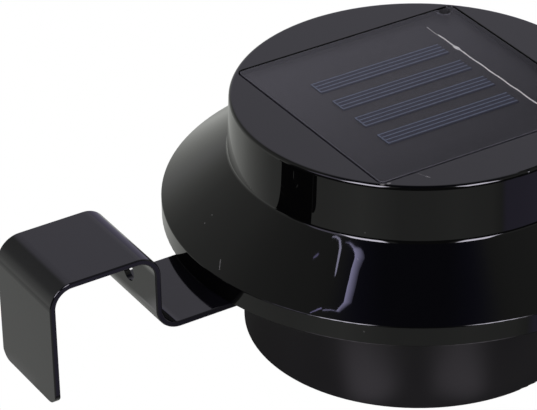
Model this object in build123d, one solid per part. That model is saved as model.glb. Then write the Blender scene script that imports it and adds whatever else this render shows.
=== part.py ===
from build123d import *
import math
import os

# Solar gutter light: a round lamp with a solar panel in its top, on a bent steel strip that
# hooks over the lip of a gutter. Millimetres. The origin is the centre of the lamp's flat
# bottom, +Z is up, and the bracket reaches along -X.

# Solar panel, which sets the size of the drum that it is let into
panel_side = 55.5
panel_corner = 1.5
panel_gap = 0.3
panel_set_down = 0.1
panel_pad_thickness = 0.4
panel_pad_band = 7.0
panel_board_thickness = 1.0
resin_thickness = 1.2
resin_edge_round = 0.2
cell_count = 4
cell_length = 32.8
cell_width = 4.4
cell_thickness = 0.3
cell_pitch = 8.53
cell_middle_x = -0.35
cell_middle_y = 0.87
ribbon_gap = 2.05
ribbon_width = 0.6
ribbon_thickness = 0.15
ribbon_overrun = 9.8
solder_radius = 0.8
solder_shift = 1.6
pocket_gap = 0.02

# Outside of the lamp
drum_land = 1.08
drum_height = 12.65
drum_draft = 0.6
drum_edge_round = 0.85
neck_round = 0.8
skirt_overhang = 14.4
cone_height = 11.2
rim_height = 4.5
rim_edge_round = 0.3
body_inset = 17.3
body_height = 27.3

# Walls of the mouldings
shell_wall = 2.0
body_wall = 2.0
recess_floor = 1.6
recess_edge_round = 0.15
floor_plate_thickness = 2.0
moulding_gap = 0.3
seal_band = 1.4
panel_wire_hole_radius = 3.0
panel_wire_hole_y = 15.0

# Screws
screw_fit = 0.05
screw_clearance = 0.2
housing_screw_count = 4
housing_screw_radius = 1.3
housing_screw_head_radius = 2.5
housing_screw_head_height = 1.2
housing_screw_grip = 3.6
housing_boss_radius = 3.2
bracket_screw_radius = 1.5
bracket_screw_head_radius = 2.8
bracket_screw_head_height = 1.6
bracket_screw_spacing = 12.0
bracket_boss_radius = 2.8
bracket_boss_height = 3.4
board_screw_count = 3
board_screw_radius = 1.1
board_screw_head_radius = 2.1
board_screw_head_height = 1.2
board_screw_grip = 6.0
board_boss_radius = 3.0
board_boss_inset = 4.7
switch_screw_radius = 0.95
switch_screw_head_radius = 1.8
switch_screw_head_height = 0.9
switch_screw_grip = 1.6
cross_slot_width = 0.5

# Lens, reflector and lamps in the bottom
lens_thickness = 2.0
lens_rebate = 0.5
lens_shelf_band = 3.0
lens_seal_thickness = 0.4
lens_seal_band = 2.0
shelf_thickness = 1.6
reflector_plate = 1.0
reflector_wall = 0.9
reflector_depth = 9.0
reflector_mouth_radius = 9.0
led_count = 3
led_circle = 17.0
led_radius = 2.5
led_length = 8.6
led_flange_radius = 2.9
led_flange_height = 1.0
led_hole_gap = 0.15
led_stand_off = 1.5
led_lead_radius = 0.3
led_lead_spacing = 2.54
led_lead_tip = 1.0

# Circuit board and what is on it
board_thickness = 1.6
board_hole_gap = 0.15
chip_length = 5.0
chip_width = 4.0
chip_height = 1.5
chip_leg = 0.4
chip_leg_count = 4
inductor_radius = 3.0
inductor_height = 4.5
inductor_waist = 0.6
capacitor_radius = 2.5
capacitor_height = 7.0
component_row = 18.5
component_pitch = 9.0

# Rechargeable cell and its holder
cell_can_radius = 7.25
cell_can_length = 49.3
cell_nub_radius = 2.75
cell_nub_length = 1.2
cell_groove = 0.4
holder_wall = 1.25
holder_end_wall = 1.0
holder_floor = 1.2
holder_gap = 0.3
holder_foot_height = 2.0
holder_foot_radius = 1.5
holder_side_above_axis = 1.5
contact_thickness = 0.4
contact_width = 8.0
contact_dimple_radius = 2.0
contact_dimple_height = 0.3
contact_tail_width = 1.5
spring_radius = 3.6
spring_wire_radius = 0.3
spring_pitch = 1.1
spring_turns = 3
spring_end_gap = 0.02

# Slide switch in the floor plate, opposite the bracket
switch_inset = 12.3
switch_width = 7.0
switch_length = 13.0
switch_height = 3.6
switch_ear_length = 3.6
switch_ear_thickness = 1.0
switch_travel = 2.5
slider_length = 5.0
slider_width = 4.0
slider_height = 1.6
knob_length = 3.2
knob_width = 2.6
knob_reach = 2.3
knob_groove = 0.3
slide_gap = 0.15
terminal_count = 3
terminal_pitch = 3.0
terminal_length = 2.2
terminal_width = 0.8
terminal_thickness = 0.4

# Insulated wires
wire_radius = 0.5
wire_bend = 3.0
panel_wire_spacing = 3.6
panel_wire_drop = 8.0
panel_wire_shift = 10.0
switch_wire_inset = 2.6

# Bracket bent from steel strip
strip_width = 22.7
strip_thickness = 1.3
strip_edge_round = 0.3
strip_corner_round = 3.0
tab_end_gap = 1.3
wall_stand_off = 14.9
bracket_rise = 17.7
lower_bend = 4.3
upper_bend = 4.0
saddle_width = 22.8
outer_leg_length = 28.0
wall_hole_radius = 2.2
wall_hole_height = 8.0

# Radii and heights that follow from the sizes above
recess_side = panel_side + 2 * panel_gap
recess_corner = panel_corner + panel_gap
recess_reach = (recess_side / 2 - recess_corner) * math.sqrt(2) + recess_corner
drum_top_radius = recess_reach + drum_land
neck_radius = drum_top_radius + drum_draft
skirt_radius = neck_radius + skirt_overhang
rim_inner_radius = skirt_radius - shell_wall
neck_inner_radius = neck_radius - shell_wall
body_radius = skirt_radius - body_inset
body_inner_radius = body_radius - body_wall

rim_z = body_height
cone_z = rim_z + rim_height
neck_z = cone_z + cone_height
top_z = neck_z + drum_height
recess_z = top_z - panel_set_down - resin_thickness - panel_board_thickness - panel_pad_thickness
ceiling_z = recess_z - recess_floor
panel_board_z = recess_z + panel_pad_thickness
panel_board_top_z = panel_board_z + panel_board_thickness

plate_z = rim_z
plate_top_z = plate_z + floor_plate_thickness
tab_z = rim_z - strip_thickness
plate_radius = rim_inner_radius - moulding_gap
screw_circle = (body_radius + plate_radius) / 2
bracket_screw_x = -screw_circle

lens_seal_z = lens_thickness
shelf_z = lens_seal_z + lens_seal_thickness
shelf_top_z = shelf_z + shelf_thickness
lens_bore_radius = body_inner_radius + lens_rebate
lens_radius = lens_bore_radius - moulding_gap
shelf_inner_radius = lens_radius - lens_shelf_band
reflector_radius = body_inner_radius - moulding_gap
reflector_top_z = shelf_top_z + reflector_depth
led_top_z = reflector_top_z + led_flange_height
board_z = led_top_z + led_stand_off
board_top_z = board_z + board_thickness
board_radius = body_inner_radius - 2 * moulding_gap
board_boss_circle = body_inner_radius - board_boss_inset

spring_length = spring_turns * spring_pitch + 2 * spring_wire_radius + 2 * spring_end_gap
battery_length = cell_can_length + cell_nub_length
trough_length = battery_length + spring_length + 2 * contact_thickness + contact_dimple_height
trough_radius = cell_can_radius + holder_gap
holder_length = trough_length + 2 * holder_end_wall
holder_width = 2 * (trough_radius + holder_wall)
holder_z = board_top_z + holder_foot_height
battery_z = holder_z + holder_floor + trough_radius
battery_nub_x = trough_length / 2 - contact_thickness - contact_dimple_height
battery_back_x = battery_nub_x - battery_length

switch_x = skirt_radius - switch_inset
switch_rest_y = -switch_travel / 2
terminal_z = plate_top_z + switch_height

tab_end_x = -(body_radius + tab_end_gap)
bracket_wall_x = -(skirt_radius + wall_stand_off)
bracket_top_z = rim_z + bracket_rise
bracket_leg_x = bracket_wall_x - 2 * strip_thickness - saddle_width


def inner_cone_z(radius):
    """Height of the inside of the conical skirt at a radius."""
    slant = math.hypot(skirt_overhang, cone_height)
    drop = shell_wall * slant / skirt_overhang
    return neck_z - drop - (radius - neck_radius) * cone_height / skirt_overhang


def turned(points, rounds=()):
    """Solid turned about Z from (radius, height) points, with the named corners rounded."""
    face = make_face(Polyline(*points, close=True))
    for corner, radius in rounds:
        face = fillet(face.vertices().sort_by_distance(Vector(*corner))[0], radius)
    return revolve(Plane.XZ * face, Axis.Z)


def rod(radius, height, x=0.0, y=0.0, z=0.0):
    """Upright round bar that stands on z."""
    return Pos(x, y, z) * Cylinder(radius, height, align=(Align.CENTER, Align.CENTER, Align.MIN))


def block(length, width, height, x=0.0, y=0.0, z=0.0):
    """Upright block, centred on x and y, that stands on z."""
    return Pos(x, y, z) * Box(length, width, height, align=(Align.CENTER, Align.CENTER, Align.MIN))


def around(count, radius, first=0.0):
    """Centres of parts spaced evenly round the axis, the first at an angle in degrees."""
    angles = [math.radians(first + 360 / count * step) for step in range(count)]
    return [(radius * math.cos(angle), radius * math.sin(angle)) for angle in angles]


def pan_screw(radius, head_radius, head_height, length):
    """Cross-slotted pan head screw: its head hangs below z = 0 and its shank points up."""
    head = turned(
        [(0, -head_height), (head_radius, -head_height), (head_radius, 0), (0, 0)],
        rounds=[((head_radius, -head_height), head_height / 2)],
    )
    slot = block(2 * head_radius, cross_slot_width, head_height / 2, z=-head_height)
    reach = block(1.2 * head_radius, 1.2 * head_radius, head_height / 2, z=-head_height)
    cross = (slot + Rot(0, 0, 90) * slot) & reach
    return head + rod(radius, length) - cross


def wire(points, bends):
    """Insulated wire along straight runs joined by tangent arcs."""
    path = FilletPolyline(*points, radius=bends)
    tube = sweep(Plane(origin=path @ 0, z_dir=path % 0) * Circle(wire_radius), path)
    expected = math.pi * wire_radius**2 * path.length
    print("wire volume", round(tube.volume, 3), "section x length", round(expected, 3))
    return tube


def helix_point(angle):
    """Point and direction on the contact spring's centre line, which winds about X."""
    climb = spring_pitch / (2 * math.pi)
    point = Vector(climb * angle, spring_radius * math.cos(angle), spring_radius * math.sin(angle))
    direction = Vector(climb, -spring_radius * math.sin(angle), spring_radius * math.cos(angle))
    return point, direction.normalized()


def biarc(start, end):
    """Two tangent arcs from one helix angle to another."""
    first, leave = helix_point(start)
    last, arrive = helix_point(end)
    chord = last - first
    along = chord.dot(leave + arrive)
    spread = 2 * (1 - leave.dot(arrive))
    reach = (-along + math.sqrt(along**2 + spread * chord.dot(chord))) / spread
    middle = (first + last + (leave - arrive) * reach) * 0.5
    across = (last - arrive * reach) - (first + leave * reach)
    return [TangentArc(first, middle, tangent=leave), TangentArc(middle, last, tangent=across)]


def make_top_shell():
    """Drum, conical skirt and rim in one gloss moulding, with a recess for the panel."""
    outside = turned(
        [
            (0, rim_z),
            (skirt_radius, rim_z),
            (skirt_radius, cone_z),
            (neck_radius, neck_z),
            (drum_top_radius, top_z),
            (0, top_z),
        ],
        rounds=[
            ((skirt_radius, rim_z), rim_edge_round),
            ((skirt_radius, cone_z), rim_edge_round),
            ((neck_radius, neck_z), neck_round),
            ((drum_top_radius, top_z), drum_edge_round),
        ],
    )
    inside = turned(
        [
            (0, rim_z),
            (rim_inner_radius, rim_z),
            (rim_inner_radius, inner_cone_z(rim_inner_radius)),
            (neck_inner_radius, inner_cone_z(neck_inner_radius)),
            (drum_top_radius - shell_wall, ceiling_z),
            (0, ceiling_z),
        ]
    )
    shell = outside - inside
    for x, y in around(housing_screw_count, screw_circle, first=45):
        boss = rod(housing_boss_radius, ceiling_z - plate_top_z, x, y, plate_top_z)
        shell += boss & outside
        hole_depth = housing_screw_grip + screw_clearance
        shell -= rod(housing_screw_radius + screw_fit, hole_depth, x, y, plate_top_z)
    shell -= Pos(0, 0, recess_z) * extrude(
        RectangleRounded(recess_side, recess_side, recess_corner), top_z - recess_z
    )
    top_edges = shell.edges().group_by(Axis.Z)[-1]
    shell = fillet([edge for edge in top_edges if edge.length < recess_side], recess_edge_round)
    shell -= rod(panel_wire_hole_radius, recess_floor, 0, panel_wire_hole_y, ceiling_z)
    return shell


def make_panel_pad():
    """Frame of double-sided foam that sticks the panel into its recess."""
    outer = RectangleRounded(panel_side, panel_side, panel_corner)
    inner_side = panel_side - 2 * panel_pad_band
    frame = outer - RectangleRounded(inner_side, inner_side, panel_corner)
    return Pos(0, 0, recess_z) * extrude(frame, panel_pad_thickness)


def make_panel_board():
    """Backing board of the solar panel."""
    outline = RectangleRounded(panel_side, panel_side, panel_corner)
    return Pos(0, 0, panel_board_z) * extrude(outline, panel_board_thickness)


def cell_places():
    """Y of the middle of each strip of solar cell, from the +Y side."""
    first = cell_middle_y + cell_pitch * (cell_count - 1) / 2
    return [first - cell_pitch * step for step in range(cell_count)]


def cell_strip(y, grow=0.0):
    """One strip of solar cell on the board, or the pocket for it."""
    return block(
        cell_length + 2 * grow,
        cell_width + 2 * grow,
        cell_thickness + grow,
        cell_middle_x,
        y,
        panel_board_top_z,
    )


def ribbon(grow=0.0):
    """Tinned ribbon past the ends of the strips, with its spot of solder, or their pocket."""
    x = cell_middle_x + cell_length / 2 + ribbon_gap
    run = cell_pitch * (cell_count - 1) + 2 * ribbon_overrun
    height = ribbon_thickness + grow
    strip = block(ribbon_width + 2 * grow, run + 2 * grow, height, x, cell_middle_y, panel_board_top_z)
    spot_height = 2 * ribbon_thickness + grow
    spot_y = cell_places()[0] - solder_shift
    spot = rod(solder_radius + grow, spot_height, x + ribbon_width / 2, spot_y, panel_board_top_z)
    return strip + spot


def make_panel_resin():
    """Clear resin cast over the cells, flush with the drum's top."""
    outline = RectangleRounded(panel_side, panel_side, panel_corner)
    resin = Pos(0, 0, panel_board_top_z) * extrude(outline, resin_thickness)
    resin = fillet(resin.edges().group_by(Axis.Z)[-1], resin_edge_round)
    for y in cell_places():
        resin -= cell_strip(y, pocket_gap)
    return resin - ribbon(pocket_gap)


def make_panel_wire(x):
    """Wire from the panel, through the recess floor and down beside the cell to the board."""
    start_y = panel_wire_hole_y
    end_y = start_y + panel_wire_shift
    high_z = panel_board_z - panel_wire_drop
    low_z = high_z - panel_wire_shift
    leaving = [(x, start_y, panel_board_z), (x, start_y, high_z)]
    arriving = [(x, end_y, low_z), (x, end_y, board_top_z)]
    return wire(leaving + arriving, [wire_bend, wire_bend])


def make_housing_seal():
    """Ring of soft rubber between the floor plate and the underside of the skirt."""
    height = inner_cone_z(plate_radius) - plate_top_z
    ring = Circle(plate_radius) - Circle(plate_radius - seal_band)
    return Pos(0, 0, plate_top_z) * extrude(ring, height)


def board_bosses():
    """Centres of the posts that carry the circuit board."""
    return around(board_screw_count, board_boss_circle, first=30)


def make_lower_body():
    """Cup with a lens shelf, board posts and the round floor plate that closes the skirt."""
    body = turned(
        [
            (lens_bore_radius, 0),
            (body_radius, 0),
            (body_radius, plate_z),
            (plate_radius, plate_z),
            (plate_radius, plate_top_z),
            (body_inner_radius, plate_top_z),
            (body_inner_radius, shelf_top_z),
            (shelf_inner_radius, shelf_top_z),
            (shelf_inner_radius, shelf_z),
            (lens_bore_radius, shelf_z),
        ],
        rounds=[((body_radius, 0), rim_edge_round), ((body_radius, plate_z), rim_edge_round)],
    )
    post_height = board_z - shelf_top_z
    web_length = board_boss_inset + body_wall / 2
    web_x = board_boss_circle + web_length / 2
    hole_depth = board_screw_grip + screw_clearance
    for x, y in board_bosses():
        web = block(web_length, board_boss_radius, post_height, web_x, 0, shelf_top_z)
        turn = Rot(0, 0, math.degrees(math.atan2(y, x)))
        body += rod(board_boss_radius, post_height, x, y, shelf_top_z) + turn * web
        body -= rod(board_screw_radius + screw_fit, hole_depth, x, y, board_z - hole_depth)
    for x, y in around(housing_screw_count, screw_circle, first=45):
        body -= rod(housing_screw_radius + screw_clearance, floor_plate_thickness, x, y, plate_z)
    for y in (-bracket_screw_spacing / 2, bracket_screw_spacing / 2):
        body += rod(bracket_boss_radius, bracket_boss_height, bracket_screw_x, y, plate_top_z)
        depth = floor_plate_thickness + bracket_boss_height - screw_clearance
        body -= rod(bracket_screw_radius + screw_fit, depth, bracket_screw_x, y, plate_z)
    for y in switch_screw_places():
        depth = switch_screw_grip + screw_clearance / 2
        body -= rod(switch_screw_radius + screw_fit, depth, switch_x, y, plate_top_z - depth)
    slot_length = knob_length + switch_travel + 2 * slide_gap
    body -= block(knob_width + 2 * slide_gap, slot_length, floor_plate_thickness, switch_x, 0, plate_z)
    return body


def make_housing_screws():
    """Screws from below that pull the skirt down onto the floor plate."""
    screw = pan_screw(
        housing_screw_radius,
        housing_screw_head_radius,
        housing_screw_head_height,
        floor_plate_thickness + housing_screw_grip,
    )
    return [Pos(x, y, plate_z) * screw for x, y in around(housing_screw_count, screw_circle, first=45)]


def make_lens():
    """Clear disc that fills the bottom of the cup."""
    return rod(lens_radius, lens_thickness)


def make_lens_seal():
    """Flat ring of rubber between the lens and its shelf."""
    ring = Circle(lens_radius) - Circle(lens_radius - lens_seal_band)
    return Pos(0, 0, lens_seal_z) * extrude(ring, lens_seal_thickness)


def led_places():
    """Centres of the three lamps."""
    return around(led_count, led_circle, first=90)


def make_reflector():
    """Bright plate with a conical cup for each lamp, notched round the board posts."""
    neck = led_radius + led_hole_gap
    plate = rod(reflector_radius, reflector_plate, z=shelf_top_z)
    outer = Cone(
        reflector_mouth_radius + reflector_wall,
        neck + reflector_wall,
        reflector_depth,
        align=(Align.CENTER, Align.CENTER, Align.MIN),
    )
    inner = Cone(reflector_mouth_radius, neck, reflector_depth, align=(Align.CENTER, Align.CENTER, Align.MIN))
    for x, y in led_places():
        plate += Pos(x, y, shelf_top_z) * outer
    for x, y in led_places():
        plate -= Pos(x, y, shelf_top_z) * inner
    notch_radius = board_boss_radius + moulding_gap
    mouth_x = board_boss_circle + board_boss_inset
    mouth = block(2 * board_boss_inset, 2 * notch_radius, reflector_plate, mouth_x, 0, shelf_top_z)
    for x, y in board_bosses():
        turn = Rot(0, 0, math.degrees(math.atan2(y, x)))
        plate -= rod(notch_radius, reflector_plate, x, y, shelf_top_z) + turn * mouth
    return plate


def make_led(x, y):
    """Clear 5 mm lamp that points down, with its two leads up through the board."""
    barrel_z = led_top_z - led_length + led_radius
    lamp = rod(led_radius, led_top_z - barrel_z, x, y, barrel_z)
    lamp += Pos(x, y, barrel_z) * Sphere(led_radius)
    lamp += rod(led_flange_radius, led_flange_height, x, y, led_top_z - led_flange_height)
    lead_length = board_top_z + led_lead_tip - led_top_z
    for side in (-1, 1):
        lamp += rod(led_lead_radius, lead_length, x + side * led_lead_spacing / 2, y, led_top_z)
    return lamp


def make_circuit_board():
    """Round board over the lamps, with holes for its screws and the lamps' leads."""
    board = rod(board_radius, board_thickness, z=board_z)
    for x, y in board_bosses():
        board -= rod(board_screw_radius + screw_clearance, board_thickness, x, y, board_z)
    for x, y in led_places():
        for side in (-1, 1):
            lead_x = x + side * led_lead_spacing / 2
            board -= rod(led_lead_radius + board_hole_gap, board_thickness, lead_x, y, board_z)
    return board


def make_board_screws():
    """Screws that hold the circuit board down on its posts."""
    screw = Rot(180, 0, 0) * pan_screw(
        board_screw_radius,
        board_screw_head_radius,
        board_screw_head_height,
        board_thickness + board_screw_grip,
    )
    return [Pos(x, y, board_top_z) * screw for x, y in board_bosses()]


def make_controller_chip():
    """Small charge and light controller with its legs in a row down each side."""
    chip = block(chip_length, chip_width, chip_height - chip_leg, z=board_top_z + chip_leg)
    leg_pitch = chip_length / chip_leg_count
    for step in range(chip_leg_count):
        x = leg_pitch * (step - (chip_leg_count - 1) / 2)
        chip += block(chip_leg, chip_width + 4 * chip_leg, chip_leg, x, 0, board_top_z)
    return Pos(-component_pitch, -component_row, 0) * chip


def make_boost_inductor():
    """Drum-shaped choke that stands on the board."""
    waist = inductor_radius - inductor_waist
    end = inductor_height / 5
    low = board_top_z + end
    high = board_top_z + inductor_height - end
    shape = turned(
        [
            (0, board_top_z),
            (inductor_radius, board_top_z),
            (inductor_radius, low),
            (waist, low),
            (waist, high),
            (inductor_radius, high),
            (inductor_radius, board_top_z + inductor_height),
            (0, board_top_z + inductor_height),
        ]
    )
    return Pos(component_pitch, -component_row, 0) * shape


def make_filter_capacitor():
    """Upright round capacitor."""
    can = rod(capacitor_radius, capacitor_height, -component_pitch, component_row, board_top_z)
    return fillet(can.edges().group_by(Axis.Z)[-1], capacitor_radius / 5)


def make_battery_holder():
    """Open tray for the cell on four feet, with slots in its floor for the contact tails."""
    height = battery_z + holder_side_above_axis - holder_z
    tray = block(holder_length, holder_width, height, z=holder_z)
    trough = Pos(0, 0, battery_z) * Rot(0, 90, 0) * Cylinder(trough_radius, trough_length)
    upper = block(trough_length, 2 * trough_radius, height, z=battery_z)
    tray -= trough + upper
    foot_x = holder_length / 2 - 2 * holder_foot_radius
    foot_y = holder_width / 2 - holder_foot_radius
    for x in (-foot_x, foot_x):
        for y in (-foot_y, foot_y):
            tray += rod(holder_foot_radius, holder_foot_height, x, y, board_top_z)
    for side in (-1, 1):
        slot_x = side * (trough_length - contact_thickness) / 2
        tray -= block(
            contact_thickness + 2 * pocket_gap,
            contact_tail_width + 2 * slide_gap,
            trough_radius + holder_floor,
            slot_x,
            0,
            holder_z,
        )
    return tray


def contact_plate(side):
    """Sprung-brass plate against an end wall of the holder, with its tail down to the board."""
    x = side * (trough_length - contact_thickness) / 2
    plate = block(contact_thickness, contact_width, contact_width, x, 0, battery_z - contact_width / 2)
    return plate + block(contact_thickness, contact_tail_width, battery_z - board_top_z, x, 0, board_top_z)


def make_positive_contact():
    """Plate with a raised spot that the cell's nub touches."""
    spot = Rot(0, 90, 0) * rod(contact_dimple_radius, contact_dimple_height)
    return contact_plate(1) + Pos(battery_nub_x, 0, battery_z) * spot


def make_battery_cell():
    """Rechargeable cell with its nub towards +X and a crimped groove behind it."""
    groove_z = cell_can_length - 3 * cell_groove
    can = turned(
        [
            (0, 0),
            (cell_can_radius, 0),
            (cell_can_radius, groove_z - 2 * cell_groove),
            (cell_can_radius - cell_groove, groove_z - cell_groove),
            (cell_can_radius, groove_z),
            (cell_can_radius, cell_can_length),
            (cell_nub_radius, cell_can_length),
            (cell_nub_radius, cell_can_length + cell_nub_length),
            (0, cell_can_length + cell_nub_length),
        ],
        rounds=[((cell_can_radius, 0), cell_groove), ((cell_can_radius, cell_can_length), cell_groove)],
    )
    return Pos(battery_back_x, 0, battery_z) * Rot(0, 90, 0) * can


def make_battery_spring():
    """Helical contact spring between the negative plate and the cell."""
    quarter = math.pi / 2
    arcs = []
    for step in range(4 * spring_turns):
        arcs += biarc(step * quarter, (step + 1) * quarter)
    path = Wire([arc.edge() for arc in arcs])
    coil = sweep(Plane(origin=path @ 0, z_dir=path % 0) * Circle(spring_wire_radius), path)
    samples = [helix_point(step * quarter / 8)[0] for step in range(32 * spring_turns + 1)]
    gaps = [
        (later - sooner).length - 2 * spring_wire_radius
        for place, sooner in enumerate(samples)
        for later in samples[place + 16:]
    ]
    expected = math.pi * spring_wire_radius**2 * path.length
    print("spring least gap", round(min(gaps), 3))
    print("spring volume", round(coil.volume, 3), "section x length", round(expected, 3))
    spring_x = battery_back_x - spring_end_gap - spring_wire_radius - spring_turns * spring_pitch
    return Pos(spring_x, 0, battery_z) * coil


def switch_screw_places():
    """Y of the screws through the switch's two ears."""
    reach = (switch_length + switch_ear_length) / 2
    return [-reach, reach]


def make_switch_body():
    """Slide switch case with two ears and a row of terminals, open below for its slider."""
    case = block(switch_width, switch_length, switch_height, switch_x, 0, plate_top_z)
    ear_reach = switch_length + 2 * switch_ear_length
    case += block(switch_width, ear_reach, switch_ear_thickness, switch_x, 0, plate_top_z)
    cavity_length = slider_length + switch_travel + 2 * slide_gap
    cavity_height = slider_height + 2 * slide_gap
    case -= block(slider_width + 2 * slide_gap, cavity_length, cavity_height, switch_x, 0, plate_top_z)
    for y in switch_screw_places():
        case -= rod(switch_screw_radius + screw_clearance, switch_ear_thickness, switch_x, y, plate_top_z)
    for step in range(terminal_count):
        y = terminal_pitch * (step - (terminal_count - 1) / 2)
        case += block(terminal_thickness, terminal_width, terminal_length, switch_x, y, terminal_z)
    return case


def make_switch_knob():
    """Slider inside the switch with the ribbed knob that a finger pushes, at its off end."""
    y = switch_rest_y
    slider = block(slider_width, slider_length, slider_height, switch_x, y, plate_top_z + slide_gap)
    stem_height = floor_plate_thickness + slide_gap + knob_reach
    knob = slider + block(knob_width, knob_length, stem_height, switch_x, y, plate_z - knob_reach)
    for step in (-1, 0, 1):
        groove_y = y + step * 3 * knob_groove
        knob -= block(knob_width, knob_groove, knob_groove, switch_x, groove_y, plate_z - knob_reach)
    return knob


def make_switch_screws():
    """Small screws through the switch's ears into the floor plate."""
    length = switch_ear_thickness + switch_screw_grip
    screw = Rot(180, 0, 0) * pan_screw(
        switch_screw_radius, switch_screw_head_radius, switch_screw_head_height, length
    )
    ear_top_z = plate_top_z + switch_ear_thickness
    return [Pos(switch_x, y, ear_top_z) * screw for y in switch_screw_places()]


def make_switch_wire(y):
    """Wire from a switch terminal over the cup's wall and down to the circuit board."""
    start_x = switch_x - terminal_thickness / 2
    turn_x = body_inner_radius - switch_wire_inset
    z = terminal_z + terminal_length / 2
    points = [(start_x, y, z), (turn_x, y, z), (turn_x, y, board_top_z)]
    return wire(points, [wire_bend])


def make_bracket():
    """Painted steel strip: a tab under the lamp, a wall, a saddle plate and an outer leg."""
    half = strip_thickness / 2
    wall_x = bracket_wall_x - half
    leg_x = bracket_leg_x + half
    leg_end_z = bracket_top_z - outer_leg_length
    points = [
        (tab_end_x, 0, tab_z + half),
        (wall_x, 0, tab_z + half),
        (wall_x, 0, bracket_top_z - half),
        (leg_x, 0, bracket_top_z - half),
        (leg_x, 0, leg_end_z),
    ]
    path = FilletPolyline(*points, radius=[lower_bend + half, upper_bend + half, upper_bend + half])
    section = RectangleRounded(strip_thickness, strip_width, strip_edge_round)
    strip = sweep(Plane(origin=path @ 0, x_dir=(0, 0, 1), z_dir=path % 0) * section, path)
    plan_length = tab_end_x - bracket_leg_x + 2 * strip_corner_round
    plan = RectangleRounded(plan_length, strip_width, strip_corner_round)
    plan_x = tab_end_x - plan_length / 2
    strip &= Pos(plan_x, 0, leg_end_z) * extrude(plan, 2 * outer_leg_length)
    front_height = outer_leg_length + 2 * strip_corner_round
    front = RectangleRounded(front_height, strip_width, strip_corner_round)
    front_centre = (bracket_leg_x, 0, leg_end_z + front_height / 2)
    side_view = Plane(origin=front_centre, x_dir=(0, 0, 1), z_dir=(1, 0, 0))
    strip &= side_view * extrude(front, tab_end_x - bracket_leg_x)
    hole = Cylinder(wall_hole_radius, 2 * strip_thickness)
    strip -= Pos(wall_x, 0, rim_z + wall_hole_height) * Rot(0, 90, 0) * hole
    for y in (-bracket_screw_spacing / 2, bracket_screw_spacing / 2):
        strip -= rod(bracket_screw_radius + screw_clearance, strip_thickness, bracket_screw_x, y, tab_z)
    return strip


def make_bracket_screws():
    """Two screws up through the tab into the floor plate's bosses."""
    length = strip_thickness + floor_plate_thickness + bracket_boss_height - 2 * screw_clearance
    screw = pan_screw(bracket_screw_radius, bracket_screw_head_radius, bracket_screw_head_height, length)
    return [
        Pos(bracket_screw_x, y, tab_z) * screw
        for y in (-bracket_screw_spacing / 2, bracket_screw_spacing / 2)
    ]


def main():
    """Write one file for each piece, or each set of like screws."""
    parts = {
        "top_shell": make_top_shell(),
        "panel_pad": make_panel_pad(),
        "panel_board": make_panel_board(),
        "panel_ribbon": ribbon(),
        "panel_resin": make_panel_resin(),
        "panel_wire_red": make_panel_wire(panel_wire_spacing / 2),
        "panel_wire_black": make_panel_wire(-panel_wire_spacing / 2),
        "housing_seal": make_housing_seal(),
        "lower_body": make_lower_body(),
        "housing_screws": make_housing_screws(),
        "lens": make_lens(),
        "lens_seal": make_lens_seal(),
        "reflector": make_reflector(),
        "circuit_board": make_circuit_board(),
        "board_screws": make_board_screws(),
        "controller_chip": make_controller_chip(),
        "boost_inductor": make_boost_inductor(),
        "filter_capacitor": make_filter_capacitor(),
        "battery_holder": make_battery_holder(),
        "battery_cell": make_battery_cell(),
        "battery_spring": make_battery_spring(),
        "battery_contact_negative": contact_plate(-1),
        "battery_contact_positive": make_positive_contact(),
        "switch_body": make_switch_body(),
        "switch_knob": make_switch_knob(),
        "switch_screws": make_switch_screws(),
        "switch_wire_red": make_switch_wire(0),
        "switch_wire_black": make_switch_wire(terminal_pitch),
        "bracket": make_bracket(),
        "bracket_screws": make_bracket_screws(),
    }
    for number, y in enumerate(cell_places(), start=1):
        parts[f"solar_cell_{number}"] = cell_strip(y)
    for number, (x, y) in enumerate(led_places(), start=1):
        parts[f"led_{number}"] = make_led(x, y)
    os.makedirs("parts", exist_ok=True)
    for name, shape in parts.items():
        solids = shape if isinstance(shape, list) else [shape]
        export_step(Compound(children=solids) if len(solids) > 1 else solids[0], f"parts/{name}.step")


main()
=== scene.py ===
import logging
import math
import random
from dataclasses import dataclass, replace
from enum import Enum
from typing import ClassVar

import bpy
from mathutils import Matrix, Vector


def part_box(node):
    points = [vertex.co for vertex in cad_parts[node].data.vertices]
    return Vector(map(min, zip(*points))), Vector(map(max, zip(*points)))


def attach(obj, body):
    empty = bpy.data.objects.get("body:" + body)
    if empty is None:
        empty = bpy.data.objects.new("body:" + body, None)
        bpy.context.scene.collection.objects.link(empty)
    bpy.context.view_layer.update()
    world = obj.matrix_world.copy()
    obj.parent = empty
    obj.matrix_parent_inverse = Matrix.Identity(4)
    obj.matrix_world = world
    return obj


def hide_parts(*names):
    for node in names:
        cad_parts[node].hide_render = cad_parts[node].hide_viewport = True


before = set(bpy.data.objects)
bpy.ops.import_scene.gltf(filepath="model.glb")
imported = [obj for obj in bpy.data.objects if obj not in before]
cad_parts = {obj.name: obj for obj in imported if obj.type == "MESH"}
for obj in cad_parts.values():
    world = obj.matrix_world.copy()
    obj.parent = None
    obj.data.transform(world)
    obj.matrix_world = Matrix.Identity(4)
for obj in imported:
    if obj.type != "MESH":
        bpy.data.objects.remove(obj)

# Solar gutter light: a round lamp with a solar panel in its top, on a bent steel strip. Pieces
# and patterns are written in millimetres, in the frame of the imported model, and the camera and
# the studio stand round the lamp.

LOG = logging.getLogger("gutter_light")
MM = 0.001
LAMP = "lamp"
CELLS = range(1, 5)
# The angle in degrees past which an edge stays sharp
SHARP_EDGE = 40.0
Socket = bpy.types.NodeSocket
# Heights that a finish stands out by, each with its depth in millimetres
Relief = list[tuple[Socket, float]]
# The points and the faces of a mesh
Skin = tuple[list, list]


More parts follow.
